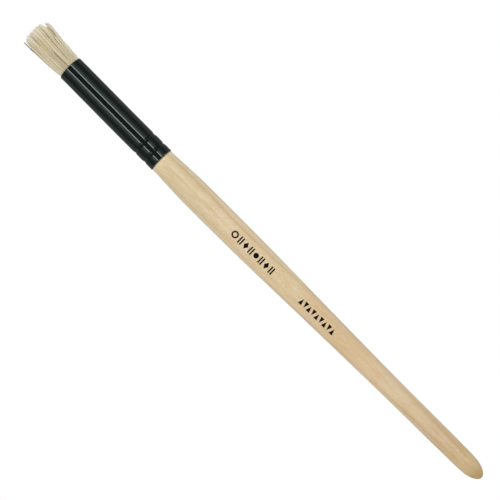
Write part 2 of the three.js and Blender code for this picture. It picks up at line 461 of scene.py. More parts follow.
def growth_layers(mat, grain, position, place, ripple):
    """Height above one growth layer, and darkness of the late wood there."""
    x, y, z = position
    heights = [(at, height / LAYER_SCALE) for at, height in LAYER_HEIGHTS]
    layer = mat.ramp(place, within(*WOOD_SPAN, heights), "B_SPLINE")
    wander = grain(along=0.035, across=0.16, shift=3.0, detail=1.0, roughness=0.5)
    height = mat.math("SUBTRACT", z, mat.times(layer, LAYER_SCALE))
    height = mat.plus(height, mat.swing(wander, amount=0.9))
    height = mat.plus(height, mat.swing(ripple, amount=0.3))
    # the layers are not quite level
    slope = mat.remap(x, span=(-112.0, -92.0), to=(-0.04, 0.12))
    height = mat.plus(height, mat.times(y, slope))
    late = mat.ramp(mat.remap(height, span=LATE_SPAN), within(*LATE_SPAN, LATE_WOOD))
    strength = grain(along=0.045, across=0.3, shift=5.0, detail=1.0, roughness=0.5)
    late = mat.times(late, mat.remap(strength, span=(0.32, 0.6), to=(0.6, 1.0)))
    late = mat.times(late, mat.remap(x, span=(-158.0, -140.0), to=(0.45, 1.0)))
    return height, late


def wood_ends(mat, base, x, ripple):
    """Darker wood at the butt's end grain and where the handle meets the ferrule."""
    geometry = mat.node("NewGeometry")
    facing_x = mat.xyz(geometry.outputs["True Normal"])[0]
    end = mat.remap(facing_x, span=(-0.35, -0.95))
    end = mat.times(end, mat.remap(x, span=(-166.0, -168.5)))
    base = mat.tint(mat.times(end, 0.85), base, (0.79, 0.84, 0.84))
    # finish soaked into the butt, with an uneven border
    soaked = mat.plus(x, mat.swing(ripple, amount=0.8))
    soaked = mat.remap(soaked, span=(-166.85, -168.3))
    base = mat.tint(soaked, base, (0.88, 0.78, 0.63))
    # a narrow darker, browner band where the handle meets the ferrule
    seat = mat.remap(x, span=(-48.95, -48.8), to=(0.0, 0.5))
    return mat.tint(seat, base, (0.6, 0.45, 0.3))


def wood_material():
    """Pale, clear-finished hardwood. The growth layers lie nearly level and wander slowly along
    the handle, so they surface as long lines down both flanks and leave a pale band on top."""
    mat = Material("handle_wood")
    position = mat.xyz(mat.millimetres())
    x = position[0]

    def grain(along, across, shift=0.0, **settings):
        return mat.noise(mat.stretched(position, along, across, shift), **settings)

    place = mat.remap(x, span=WOOD_SPAN)
    ripple = grain(along=0.11, across=0.7, shift=9.0, detail=2.0, roughness=0.5)
    height, late = growth_layers(mat, grain, position, place, ripple)
    # fine layering inside the growth rings
    lines = mat.noise(w=height, scale=3.4, detail=2.0, roughness=0.6)
    lines = mat.remap(lines, span=(0.42, 0.72))
    colours = [(at, srgb(*colour)) for at, colour in WOOD_COLOURS]
    base = mat.ramp(place, within(*WOOD_SPAN, colours))
    # slow warm and pale patches, like a faint flame figure
    flame = grain(along=0.13, across=0.62, detail=5.0, roughness=0.68, distortion=0.9)
    base = mat.tint(mat.remap(flame, span=(0.49, 0.60)), base, (0.975, 0.93, 0.84))
    base = mat.tint(mat.remap(flame, span=(0.5, 0.40)), base, (1.01, 1.02, 1.045))
    curl = grain(along=0.32, across=1.1, shift=21.0, detail=3.0, roughness=0.6, distortion=1.4)
    curl = mat.remap(curl, span=(0.5, 0.66), to=(0.0, 0.8))
    base = mat.tint(curl, base, (0.975, 0.955, 0.92))
    pores = grain(along=0.9, across=2.2, detail=3.0, roughness=0.7)
    base = mat.tint(mat.remap(pores, span=(0.42, 0.7)), base, (0.965, 0.95, 0.92))
    # the growth lines, yellower and darker
    base = mat.tint(late, base, (0.845, 0.79, 0.62))
    base = mat.tint(mat.times(lines, 0.38), base, (0.97, 0.955, 0.92))
    # fine fibres, a fraction of a millimetre wide and centimetres long
    fibre = grain(along=0.14, across=3.1, detail=3.0, roughness=0.6)
    fibre_tint = mat.remap(fibre, span=(0.35, 0.75), to=(0.0, 0.8))
    base = mat.tint(fibre_tint, base, (0.97, 0.955, 0.925))
    # the cut cells give a fine, nearly even grain
    cells = grain(along=1.7, across=2.9, shift=41.0, detail=2.0, roughness=0.6)
    pale_cells = mat.multiply(base, (1.02, 1.02, 1.025))
    dark_cells = mat.multiply(base, (0.945, 0.94, 0.925))
    base = mat.mix(mat.remap(cells, span=(0.36, 0.64)), pale_cells, dark_cells)
    # short darker flecks
    fleck = grain(along=0.75, across=5.5, detail=1.0, roughness=0.4)
    fleck = mat.remap(fleck, span=(0.66, 0.78))
    base = mat.tint(mat.times(fleck, 0.5), base, (0.78, 0.66, 0.47))
    base = wood_ends(mat, base, x, ripple)
    # painted sheen: the colour is paled where the surface turns away from the viewer, in place of
    # light caught by raised fibres
    turned_away = mat.node("LayerWeight")
    turned_away.inputs["Blend"].default_value = 0.5
    painted_sheen = mat.ramp(turned_away.outputs["Facing"], PAINTED_EDGE_SHEEN)
    painted_sheen = mat.times(painted_sheen, mat.remap(x, span=(-150.0, -115.0), to=(0.3, 1.0)))
    base = mat.mix(painted_sheen, base, srgb(224, 214, 191))
    rough = mat.remap(fibre, span=(0.3, 0.7), to=(0.38, 0.52))
    rough = mat.plus(rough, mat.times(fleck, 0.1))
    relief = mat.plus(mat.times(fibre, 0.55), mat.times(fleck, -0.6))
    relief = mat.plus(relief, mat.times(late, 0.35))
    normal = mat.bump(relief, distance=0.00003, strength=0.45)
    return mat.finish(
        color=base, rough=rough, normal=normal, ior=1.48, coat=0.35, coat_rough=0.3
    )


# ------------------------------------------------------------------------------------------------
# Other materials
# ------------------------------------------------------------------------------------------------
def lacquer_material():
    """Gloss black lacquer over thin metal tube, faintly green, with a trace of orange peel, fine
    rub marks and dulled, slightly chipped edges."""
    mat = Material("ferrule_lacquer")
    mm = mat.millimetres()
    x, y, z = mat.xyz(mm)
    cloud = mat.noise(mm, scale=0.35, detail=3.0, roughness=0.55)
    peel = mat.noise(mm, scale=1.1, detail=2.0, roughness=0.5)
    # rub marks run round the tube
    rub_place = mat.stretched((x, y, z), along=5.0, across=0.35)
    rub = mat.noise(rub_place, detail=3.0, roughness=0.65)
    rub = mat.remap(rub, span=(0.6, 0.78))
    dust = mat.noise(mm, scale=9.0, detail=2.0, roughness=0.6)
    dust = mat.remap(dust, span=(0.7, 0.8))
    cloud_mix = mat.remap(cloud, span=(0.3, 0.7))
    base = mat.mix(cloud_mix, (0.0042, 0.0078, 0.0066), (0.0062, 0.0102, 0.0088))
    base = mat.mix(mat.times(dust, 0.10), base, (0.05, 0.05, 0.047))
    # dulled lacquer along the two rims, worn through here and there at the rear one
    radius = mat.math("SQRT", mat.plus(mat.times(y, y), mat.times(z, z)))
    mouth = mat.remap(x, span=(MOUTH - 0.12, MOUTH))
    rear = mat.remap(x, span=(REAR + 0.2, REAR + 0.03))
    rim = mat.math("MAXIMUM", mouth, rear)
    chip_place = mat.vector("ADD", mm, (0.0, 7.0, 3.0))
    chip = mat.noise(chip_place, scale=2.1, detail=2.0, roughness=0.6)
    worn = mat.times(rear, mat.remap(chip, span=(0.52, 0.62)))
    base = mat.mix(mat.times(worn, 0.75), base, (0.30, 0.28, 0.24))
    # bare metal inside the tube and down in the grooves
    inside = mat.remap(radius, span=(3.44, 3.38))
    base = mat.mix(inside, base, (0.32, 0.31, 0.29))
    rough = mat.remap(cloud, span=(0.3, 0.7), to=(0.045, 0.065))
    for mark, amount in ((rub, 0.04), (dust, 0.12), (rim, 0.15)):
        rough = mat.plus(rough, mat.times(mark, amount))
    relief = mat.plus(peel, mat.times(rub, -0.08))
    normal = mat.bump(relief, distance=0.000008, strength=0.016)
    metal = mat.times(inside, 0.8)
    return mat.finish(color=base, rough=rough, normal=normal, ior=1.5, metal=metal)


# (tone, colour) from the darkest bristle to the palest
BRISTLE_TONES = [
    (0.0, srgb(198, 177, 132)), (0.2, srgb(212, 194, 152)), (0.45, srgb(226, 213, 178)),
    (0.75, srgb(237, 226, 194)), (1.0, srgb(244, 236, 208)),
]


def bristle_material():
    """Unbleached hog bristle: straw to cream, each bristle its own tone, with painted shade towards
    the root, paler and softer at the cut tip, and a faint scale texture."""
    mat = Material("hog_bristle")
    tone, along, dark = (mat.attribute(name) for name in ("tone", "along", "dark"))
    position = mat.xyz(mat.millimetres())
    _, y, z = position
    base = mat.ramp(tone, BRISTLE_TONES)
    band = mat.noise(
        mat.stretched(position, along=0.35, across=1.3), detail=3.0, roughness=0.6
    )
    band = mat.remap(band, span=(0.4, 0.72), to=(0.0, 0.6))
    base = mat.tint(band, base, (0.93, 0.86, 0.74))
    # painted shade towards the root, where the bristles crowd into the ferrule's mouth; pale tip
    base = mat.tint(mat.remap(along, span=(0.85, 0.1)), base, (0.87, 0.88, 0.90))
    tip = mat.remap(along, span=(0.74, 1.0), to=(0.0, 0.68))
    base = mat.mix(tip, base, srgb(240, 240, 224))
    # painted warm shade: bristles deep in the bundle are tinted yellower, as light bounced between
    # bristles would tint them, except near the tips
    short_of_tip = mat.remap(along, span=(0.72, 0.97), to=(1.0, 0.12))
    deep = mat.times(mat.attribute("deep"), short_of_tip)
    base = mat.tint(deep, base, (1.2, 1.08, 0.74))
    base = mat.multiply(base, (0.908, 0.905, 0.93))
    base = mat.mix(dark, base, srgb(54, 45, 36))
    scale = mat.noise(
        mat.stretched(position, along=6.0, across=9.0), detail=2.0, roughness=0.6
    )
    scale_tint = mat.remap(scale, span=(0.4, 0.75), to=(0.0, 0.14))
    base = mat.tint(scale_tint, base, (0.86, 0.8, 0.68))
    rough = mat.remap(scale, span=(0.3, 0.7), to=(0.62, 0.78))
    # painted light: paler down the -Y and +Y flanks of the bundle
    sideways = mat.xyz(mat.vector("NORMALIZE", mat.join(0.0, y, z)))[1]
    flank = mat.remap(mat.math("ABSOLUTE", sideways), span=(0.55, 1.0), to=(0.0, 0.35))
    base = mat.mix(flank, base, srgb(240, 236, 222))
    # a bristle this thin and milky is lit through as much as on its surface, so its shading leans
    # towards that of the bundle, though not at the cut ends
    true_normal = mat.node("NewGeometry").outputs["Normal"]
    around = mat.vector("NORMALIZE", mat.join(0.0, y, z))
    end_on = mat.math("ABSOLUTE", mat.xyz(true_normal)[0])
    sides = mat.remap(end_on, span=(0.3, 0.8), to=(0.9, 0.0))
    pull = mat.vector("MULTIPLY", around, mat.join(sides, sides, sides))
    lean = mat.vector("NORMALIZE", mat.vector("ADD", true_normal, pull))
    normal = mat.bump(scale, distance=0.000012, strength=0.25, normal=lean)
    return mat.finish(color=base, rough=rough, normal=normal, ior=1.45, specular=0.0)


def ink_material():
    """Printed black ink, thin and slightly uneven."""
    mat = Material("marking_ink")
    position = mat.xyz(mat.millimetres())
    thin = mat.noise(
        mat.stretched(position, along=0.9, across=4.0), detail=3.0, roughness=0.6
    )
    thin_mix = mat.remap(thin, span=(0.5, 0.75), to=(0.0, 0.6))
    base = mat.mix(thin_mix, (0.0035, 0.0022, 0.0022), (0.014, 0.008, 0.007))
    rough = mat.remap(thin, span=(0.3, 0.7), to=(0.5, 0.7))
    normal = mat.bump(thin, distance=0.00001, strength=0.3)
    return mat.finish(color=base, rough=rough, normal=normal, ior=1.45, specular=0.08)


def resin_material():
    """Cloudy amber resin with small bubbles."""
    mat = Material("setting_resin")
    mm = mat.millimetres()
    cloud = mat.noise(mm, scale=0.6, detail=4.0, roughness=0.55)
    bubble = mat.noise(mm, scale=4.5, detail=1.0, roughness=0.5)
    bubble = mat.remap(bubble, span=(0.66, 0.74))
    cloud_mix = mat.remap(cloud, span=(0.3, 0.7))
    base = mat.mix(cloud_mix, (0.36, 0.19, 0.045), (0.52, 0.31, 0.09))
    base = mat.mix(mat.times(bubble, 0.5), base, (0.7, 0.52, 0.25))
    rough = mat.remap(cloud, span=(0.3, 0.7), to=(0.16, 0.3))
    rough = mat.plus(rough, mat.times(bubble, 0.15))
    normal = mat.bump(mat.plus(cloud, bubble), distance=0.00004, strength=0.5)
    return mat.finish(color=base, rough=rough, normal=normal, ior=1.55)


def thread_material():
    """Pale twisted thread with a little fuzz."""
    mat = Material("binding_thread")
    mm = mat.millimetres()
    x, y, z = mat.xyz(mm)
    angle = mat.math("ARCTAN2", y, z)
    twist = mat.math("SINE", mat.plus(mat.times(angle, 46.0), mat.times(x, 30.0)))
    fuzz = mat.noise(mm, scale=12.0, detail=3.0, roughness=0.65)
    twist_mix = mat.remap(twist, span=(-1.0, 1.0))
    base = mat.mix(twist_mix, (0.58, 0.52, 0.4), (0.8, 0.75, 0.62))
    fuzz_mix = mat.remap(fuzz, span=(0.4, 0.7), to=(0.0, 0.5))
    base = mat.mix(fuzz_mix, base, (0.66, 0.58, 0.43))
    relief = mat.plus(mat.times(twist, 0.6), fuzz)
    rough = mat.remap(fuzz, span=(0.3, 0.7), to=(0.75, 0.95))
    normal = mat.bump(relief, distance=0.00004, strength=0.6)
    return mat.finish(color=base, rough=rough, normal=normal)


WOOD = wood_material()
LACQUER = lacquer_material()
BRISTLE = bristle_material()
INK = ink_material()
RESIN = resin_material()
THREAD = thread_material()


# ------------------------------------------------------------------------------------------------
# Handle
# ------------------------------------------------------------------------------------------------
def build_handle():
    """The handle, from the middle of its flat butt to the nose of its tenon. Rows are
    (x, radius)."""
    butt = [(BUTT, 0.0), (BUTT, 0.3), (BUTT + 0.004, 0.5)]
    body_x = stations(BUTT + 0.02, (-165.4, 40), (-159.4, 14), (-61.4, 130), (-49.1, 36))
    body = [(x, float(handle_radius(x))) for x in body_x]
    shoulder = [
        (-48.95, 3.495), (-48.87, 3.48), (-48.84, 3.44), (-48.84, 3.33), (-48.8, TENON_RADIUS),
    ]
    tenon = [
        (x, TENON_RADIUS - float(groove_depth(x, depth=0.24, stretch=1.15)))
        for x in np.linspace(-48.4, -31.5, 90)
    ]
    nose = [
        (-31.35, 3.24), (-31.1, 3.0), (-30.95, 2.78), (-30.9, 2.6), (-30.9, 1.2), (-30.9, 0.0),
    ]

    def out_of_round(x, angle, radius):
        visible = (x < -49.0) & (radius > 0.6)
        return np.where(visible, turning(x, angle) * rise(radius, 0, 3), 0)

    points, faces = revolve(butt + body + shoulder + tenon + nose, 128, out_of_round)
    add_mesh("turned_handle", points, faces, WOOD, replaces="handle")


# ------------------------------------------------------------------------------------------------
# Ferrule
# ------------------------------------------------------------------------------------------------
def ferrule_outside(x):
    """The ferrule's outer radius, with the metal pushed up between the grooves and a flare at
    the rear rim."""
    swell = 0.014 * np.exp(-(((x - sum(GROOVES) / 2) / 0.8) ** 2))
    flare = 0.06 * rise(x, REAR + 0.5, REAR + 0.05) ** 1.5
    return float(FERRULE_RADIUS - groove_depth(x, depth=0.19) + swell + flare)


def ferrule_dents(x, angle, radius):
    """The crimping rolls bite a little unevenly, and thin tube is never quite round."""
    uneven = 0.012 * np.sin(4 * angle + 0.7) + 0.007 * np.sin(7 * angle + 2.1)
    bite = groove_depth(x, depth=1.0) * uneven
    oval = 0.004 * np.sin(2 * angle + 0.3 + 0.03 * x) + 0.002 * np.sin(3 * angle - 0.05 * x)
    ragged = 0.012 * np.sin(9 * angle + 1.0) + 0.008 * np.sin(23 * angle)
    return bite + oval + rise(x, REAR + 0.1, REAR) * ragged


def build_ferrule():
    """The crimped tube: outside, rear lip, inside and mouth. Rows are (x, radius)."""
    bore = FERRULE_RADIUS - FERRULE_WALL
    outer_x = stations(MOUTH - 0.1, (-41.0, 60), (-47.2, 220), (REAR + 0.1, 40))
    outer = [(x, ferrule_outside(x)) for x in outer_x]
    lip = [
        (REAR + 0.05, ferrule_outside(REAR + 0.08) - 0.003),
        (REAR + 0.012, FERRULE_RADIUS + 0.035),
        (REAR, FERRULE_RADIUS - 0.01),
        (REAR, FERRULE_RADIUS - FERRULE_WALL * 0.6),
        (REAR + 0.015, bore + 0.02),
    ]
    inner = [
        (x, bore - float(groove_depth(x, depth=0.18)))
        for x in np.linspace(REAR + 0.06, MOUTH - 0.06, 190)
    ]
    mouth = [
        (MOUTH - 0.012, bore + 0.012),
        (MOUTH, bore + 0.05),
        (MOUTH, FERRULE_RADIUS - 0.07),
        (MOUTH - 0.018, FERRULE_RADIUS - 0.025),
        (MOUTH - 0.05, FERRULE_RADIUS - 0.006),
    ]
    points, faces = revolve(outer + lip + inner + mouth, 192, ferrule_dents)
    # this profile runs the other way from the handle's, so its faces are turned over
    faces = [face[::-1] for face in faces]
    add_mesh("crimped_ferrule", points, faces, LACQUER, replaces="ferrule")


# ------------------------------------------------------------------------------------------------
# Resin cup and thread binding, inside the ferrule
# ------------------------------------------------------------------------------------------------
def subdivided(profile, step):
    """The profile with points added so that they are no more than about a step apart."""
    fine = [profile[0]]
    for (x0, r0), (x1, r1) in zip(profile, profile[1:]):
        parts = max(1, int(math.hypot(x1 - x0, r1 - r0) / step))
        fine += [
            (x0 + (x1 - x0) * k / parts, r0 + (r1 - r0) * k / parts)
            for k in range(1, parts + 1)
        ]
    return fine


def build_resin():
    """A cup that opens towards the bristles. Profile rows are (x, radius)."""
    rear, lip = cad_span("resin_plug")
    outer, inner, floor_x = 3.30, 3.07, -25.8
    profile = [
        (rear, 0.0), (rear, 2.0), (rear + 0.02, 2.9), (rear + 0.1, 3.18), (rear + 0.28, outer),
        (lip - 0.25, outer), (lip - 0.02, outer - 0.02), (lip, outer - 0.1),
        (lip - 0.05, inner + 0.05), (lip - 0.3, inner), (floor_x + 0.3, inner),
        (floor_x + 0.06, inner - 0.1), (floor_x, inner - 0.35), (floor_x, 1.2), (floor_x, 0.0),
    ]

    def uneven(x, angle, radius):
        return np.where(radius > 3.2, 0.012 * np.sin(5 * angle + x), 0)

    points, faces = revolve(subdivided(profile, step=0.5), 96, uneven)
    add_mesh("resin_cup", points, faces, RESIN, replaces="resin_plug")


def build_thread():
    """Four turns of thread wound round the bristles' roots."""
    turns, turn_steps, pitch = 4, 44, 0.42
    start, coil_radius, thread_radius = -25.0, 2.89, 0.125
    progress = np.linspace(0, 1, turns * turn_steps + 1)
    angle = progress * turns * 2 * math.pi
    x = start + progress * turns * pitch
    centres = np.stack([x, coil_radius * np.cos(angle), coil_radius * np.sin(angle)], 1)
    centres[:, 0] += 0.02 * np.sin(angle * 1.7)
    points, faces = tube(centres, thread_radius + 0.006 * np.sin(angle * 9), sides=10)
    add_mesh("thread_winding", points, faces, THREAD, replaces="binding_thread")


# ------------------------------------------------------------------------------------------------
# Bristles. Each has a home in a unit disc, (across, up), which stands for the bundle's section
# with across along Y and up along Z. Bristles gather into strands, and strands into clumps.
# ------------------------------------------------------------------------------------------------
rng = np.random.default_rng(77)
BRISTLES, STRANDS, CLUMPS = 1500, 290, 40
STEPS, SIDES = 16, 6  # rings along a bristle and points round each
ROOT = -24.0
FREE_LENGTH = 14.2  # the length over which bristles stray from their places
SHADED_LENGTH = 13.6  # the length over which their colour changes
PARTING = -0.69  # place across where the -Y clump stands apart from the rest
OUTER_EDGE = 0.86  # strands beyond this distance lean outwards
PHASES = (0, 6.283)  # one full turn, in radians
TRAITS = ("tone", "along", "dark", "deep")  # per-point numbers that the bristle material reads

# (x of the tip, how far it stands off) of the short hairs that step down the -Y side
STEPPED_HAIRS = [
    (-2.4, 0.26), (-4.4, 0.36), (-5.9, 0.28), (-7.9, 0.14), (-10.1, 0.14), (-12.0, 0.14),
]


def spread_points(count):
    """Even but irregular points in the unit disc."""
    k = np.arange(count) + 0.5
    distance, angle = np.sqrt(k / count), k * math.pi * (3 - math.sqrt(5))
    points = np.stack([distance * np.cos(angle), distance * np.sin(angle)], 1)
    points += rng.normal(0, 0.42 / math.sqrt(count), points.shape)
    for _ in range(5):  # push crowded neighbours apart
        offset = points[:, None] - points[None]
        gap = np.hypot(offset[..., 0], offset[..., 1]) + np.eye(count) * 9
        crowding = np.clip(1.62 / math.sqrt(count) - gap, 0, None)
        points += (offset / gap[..., None] * crowding[..., None]).sum(1) * 0.32
        distance = np.hypot(points[:, 0], points[:, 1])
        points *= np.minimum(1, 0.992 / np.maximum(distance, 1e-9))[:, None]
    return points


def gather(homes, count):
    """Share the bristles out among bundles: the bundle of each, and the bundles' middles."""
    seeds = spread_points(count)
    owner = np.argmin(((homes[:, None] - seeds[None]) ** 2).sum(2), 1)
    middles = [homes[owner == k].mean(0) if (owner == k).any() else seeds[k] for k in range(count)]
    return owner, np.array(middles)


def lock_of(across, up):
    """The CAD lock that a home belongs to."""
    distance = math.hypot(across, up)
    if distance < 0.155:
        return "bristle_lock_centre"
    angle = math.atan2(up, across) % (2 * math.pi)
    ring_number = 1 if distance < 0.437 else 2 if distance < 0.721 else 3
    number = int(angle / (2 * math.pi) * 6 * ring_number) + 1
    return f"bristle_lock_{('inner', 'middle', 'outer')[ring_number - 1]}_{number:02d}"


def make_strands(middle):
    """What the bristles of each strand have in common."""
    edge = np.hypot(middle[:, 0], middle[:, 1])
    outer = edge > OUTER_EDGE
    # how strongly a strand draws its bristles together
    pull = rng.uniform(0.36, 0.70, STRANDS)
    pull = np.where(outer, pull * 0.6, pull)
    lean = rng.normal(0, 0.020, (STRANDS, 2))
    lean = np.where(outer[:, None], np.abs(lean) * np.sign(middle) * 0.6, lean)
    sway_phase = rng.uniform(*PHASES, (STRANDS, 2))
    sway_size = rng.uniform(0.03, 0.13, (STRANDS, 2))
    sway_waves = rng.uniform(0.7, 1.6, STRANDS)
    end = rng.normal(0, 0.13, STRANDS)
    # some strands down the sides end early and stand off a little
    ragged_chance = np.where(np.abs(middle[:, 1]) < 0.5, 0.42, 0.22)
    ragged = (edge > 0.84) & (rng.random(STRANDS) < ragged_chance)
    ragged_end = -rng.uniform(1.6, 9.0, STRANDS)
    ragged_splay = rng.uniform(0.06, 0.26, STRANDS)
    return SimpleNamespace(
        middle=middle, pull=pull, lean=lean, end=end, sway_phase=sway_phase,
        sway_size=sway_size, sway_waves=sway_waves, ragged=ragged, ragged_end=ragged_end,
        ragged_splay=ragged_splay,
    )


def bristle_tones(homes, strand, clump):
    """The tone of each bristle, 0 to 1."""
    tone = 0.5 + rng.normal(0, 0.07, STRANDS)[strand] + rng.normal(0, 0.04, CLUMPS)[clump]
    tone = tone + rng.normal(0, 0.06, BRISTLES)
    # a darker stripe along the top, a little to the +Y side
    tone -= 0.10 * np.exp(-(((homes[:, 0] - 0.22) / 0.2) ** 2)) * (homes[:, 1] > 0)
    return np.clip(tone, 0, 1)


def bristle_end(across, distance, strands, k):
    """The x at which a bristle of strand k ends, and how far it stands off the side."""
    end = -0.32 * distance * distance + strands.end[k] + rng.normal(0, 0.05)
    end -= float(side_cut(across))
    if rng.random() < 0.10:
        end -= rng.uniform(0.1, 0.9)
    splay = 0.0
    if strands.ragged[k]:
        end = strands.ragged_end[k] + rng.normal(0, 0.25)
        splay = strands.ragged_splay[k]
    if distance > 0.9 and rng.random() < 0.15:  # short hairs that stand off the sides
        end = -rng.uniform(1.2, 9.5)
        splay = rng.uniform(0.05, 0.24) if rng.random() < 0.75 else rng.uniform(0.24, 0.55)
    return min(end, 0.12), splay


def part(x, home, place, apart):
    """Open the parting near the tips, along the top only: the bristle's place across after its
    neighbours have made room, and how freely it may sway."""
    opening = rise(x, -2.8, -1.3) * rise(home[1], -0.35, 0.25)
    beside = np.clip(1 - abs(home[0] - PARTING) / 0.34, 0, 1)
    if apart:
        parted = np.minimum(place - 0.06 * opening * beside, PARTING - 0.02 - 0.115 * opening)
        place = np.where(opening > 0, parted, place) - 0.055 * rise(x, -7.5, -3.5)
    else:
        parted = np.maximum(place + 0.09 * opening * beside, PARTING + 0.02 + 0.11 * opening)
        place = np.where(opening > 0, parted, place)
    return place, 1 - 0.7 * rise(x, -4.0, -2.0) * (beside > 0)


def darkness(x, across, up):
    """How dark a bristle is along its length: three dark streaks and a few odd dark bristles."""
    if up > 0.80 and abs(across - 0.03) < 0.03:
        return 0.42 * rise(x, -6.6, -9.1)
    if up > 0.5 and abs(across + 0.70) < 0.03:
        return 0.37 * rise(x, -7.6, -10.1)
    if up > 0.3 and abs(across + 0.80) < 0.022:
        return 0.4 * rise(x, -6.5, -5.0) * rise(x, -2.2, -3.2)
    if rng.random() < 0.012:
        return rng.uniform(0.2, 0.5)
    return 0.0


def round_tip(x, radii):
    """Soften a bristle's tip with a last short, narrowing step."""
    radii[-1] *= 0.55
    x[-2] = x[-1] - 0.07


def add_bristle(locks, lock, centres, radii, roll=0.0, **traits):
    """Add a bristle to a lock. Each trait is one number, or one for each step along."""
    points, faces = tube(centres, radii, SIDES, roll)
    if lock not in locks:
        traits_so_far = {name: [] for name in TRAITS}
        locks[lock] = SimpleNamespace(points=[], faces=[], traits=traits_so_far)
    group = locks[lock]
    first = sum(map(len, group.points))
    group.points.append(points)
    group.faces += [[corner + first for corner in face] for face in faces]
    for name in TRAITS:
        group.traits[name].append(np.repeat(np.broadcast_to(traits[name], STEPS), SIDES))


def add_main_bristles(locks):
    homes = spread_points(BRISTLES)
    strand, strand_middle = gather(homes, STRANDS)
    clump, clump_middle = gather(homes, CLUMPS)
    strands = make_strands(strand_middle)
    tone = bristle_tones(homes, strand, clump)
    progress = np.linspace(0, 1, STEPS) ** 0.8
    wave = progress * 2 * math.pi
    for i, home in enumerate(homes):
        distance = math.hypot(*home)
        k = strand[i]
        end, splay = bristle_end(home[0], distance, strands, k)
        root = ROOT + rng.uniform(-0.8, 0.8)
        x = root + (end - root) * progress
        free = rise(x, -FREE_LENGTH, 0)
        # drawn towards the strand's middle and, away from the edge, the clump's
        strand_pull = strands.pull[k] * free**0.8 * (1 - 0.3 * free**2)
        clump_pull = 0.12 * free * (distance < 0.85)
        across, up = (
            home[axis]
            + (strand_middle[k][axis] - home[axis]) * strand_pull
            + (clump_middle[clump[i]][axis] - home[axis]) * clump_pull
            + strands.lean[k][axis] * free
            for axis in (0, 1)
        )
        across, still = part(x, home, across, apart=strand_middle[k][0] < PARTING)
        radius = tuft_radius(x)
        outward = splay * rise(x, end - 5, end) ** 2 / max(distance, 0.3)
        phase = rng.uniform(*PHASES, 2)
        size = rng.uniform(0.004, 0.016)
        waves = rng.uniform(0.8, 1.8)
        shake = free**0.6 * still
        sway = [
            size * np.sin(phase[axis] + waves * wave)
            + strands.sway_size[k][axis]
            * np.sin(strands.sway_phase[k][axis] + strands.sway_waves[k] * wave)
            for axis in (0, 1)
        ]
        y = tuft_shift(x) + radius * across + home[0] * outward + shake * sway[0]
        z = radius * up + home[1] * outward + shake * sway[1]
        radii = rng.uniform(0.086, 0.110) * (1.0 - 0.04 * progress)
        roll = rng.uniform(0, 1)
        round_tip(x, radii)
        add_bristle(
            locks, lock_of(*home), np.stack([x, y, z], 1), radii, roll,
            tone=tone[i], along=rise(x, -SHADED_LENGTH, 0), dark=darkness(x, *home),
            deep=rise(distance, 0.93, 0.79),
        )


def add_stepped_hairs(locks):
    """Hairs that end part of the way down the -Y side and give it its stepped outline."""
    hairs = [
        (end, splay, turn)
        for end, splay in STEPPED_HAIRS
        for turn in rng.uniform(-0.2, 0.2, 5)
    ]
    for end, splay, turn in hairs:
        end += rng.normal(0, 0.12)
        splay *= rng.uniform(0.7, 1.1)
        x = ROOT + (end - ROOT) * np.linspace(0, 1, STEPS) ** 0.8
        radius = tuft_radius(x) * 0.985 + splay * rise(x, end - 4.0, end) ** 1.5
        angle = math.pi + turn
        y = tuft_shift(x) + radius * math.cos(angle)
        z = -radius * math.sin(angle)
        radii = 0.1 * (1 - 0.1 * np.linspace(0, 1, STEPS))
        round_tip(x, radii)
        lock = "bristle_lock_outer_09" if -math.sin(angle) > 0 else "bristle_lock_outer_10"
        add_bristle(
            locks, lock, np.stack([x, y, z], 1), radii,
            tone=rng.uniform(0.3, 0.6), along=rise(x, -SHADED_LENGTH, 0), dark=0.0, deep=0.0,
        )


def add_stray_bristle(locks):
    """One thick bristle along the +Y side, dark towards its tip."""
    x = np.linspace(ROOT, -0.24, STEPS)
    free = rise(x, -13.8, 0)
    inside = x < -13.7
    share = tuft_radius(x) / 3.27  # of the bundle's radius at x = -13.7
    bend = 3.13 + 0.70 * rise(free, 0, 0.8) ** 0.9 - 0.06 * rise(free, 0.8, 1.0)
    y = np.where(inside, 3.1 * share, bend)
    z = np.where(inside, 0.9 * share, 0.9 + 0.2 * free)
    add_bristle(
        locks, "bristle_lock_outer_01", np.stack([x, y, z], 1), 0.165 * (1 - 0.15 * free),
        tone=0.0, along=free, dark=rise(x, -4.6, -3.1), deep=0.0,
    )


def build_bristles():
    locks = {}
    add_main_bristles(locks)
    add_stepped_hairs(locks)
    add_stray_bristle(locks)
    for node in sorted(locks):
        group = locks[node]
        add_mesh(
            node.replace("bristle_lock", "bristles"), np.vstack(group.points), group.faces,
            BRISTLE, replaces=node,
            traits={name: np.concatenate(group.traits[name]) for name in TRAITS},
        )


# ------------------------------------------------------------------------------------------------
# Printed marks: flat shapes in thin ink wrapped round the handle. A flat point is (x, side), with
# side the distance round the surface from the top towards +Y.
# ------------------------------------------------------------------------------------------------
CIRCLE_POINTS, CIRCLE_ROWS = 36, 4
INK_LIFT, INK_SINK = 0.012, 0.02  # how far the ink stands above the wood and reaches into it


def grid_patch(corner, edge1, edge2, count1, count2):
    """A parallelogram as a grid of faces."""
    i, j = np.meshgrid(
        np.arange(count1 + 1) / count1, np.arange(count2 + 1) / count2, indexing="ij"
    )
    points = np.array(corner) + i[..., None] * np.array(edge1) + j[..., None] * np.array(edge2)
    here = np.arange((count1 + 1) * (count2 + 1)).reshape(count1 + 1, count2 + 1)
    faces = np.stack([here[:-1, :-1], here[1:, :-1], here[1:, 1:], here[:-1, 1:]], 2)
    return points.reshape(-1, 2), faces.reshape(-1, 4).tolist()


def bar(x, side, width, height):
    return grid_patch((x - width / 2, side - height / 2), (width, 0), (0, height), 3, 12)


def diamond(x, side, width, height):
    edge1, edge2 = (width / 2, height / 2), (width / 2, -height / 2)
    return grid_patch((x - width / 2, side), edge1, edge2, 8, 8)


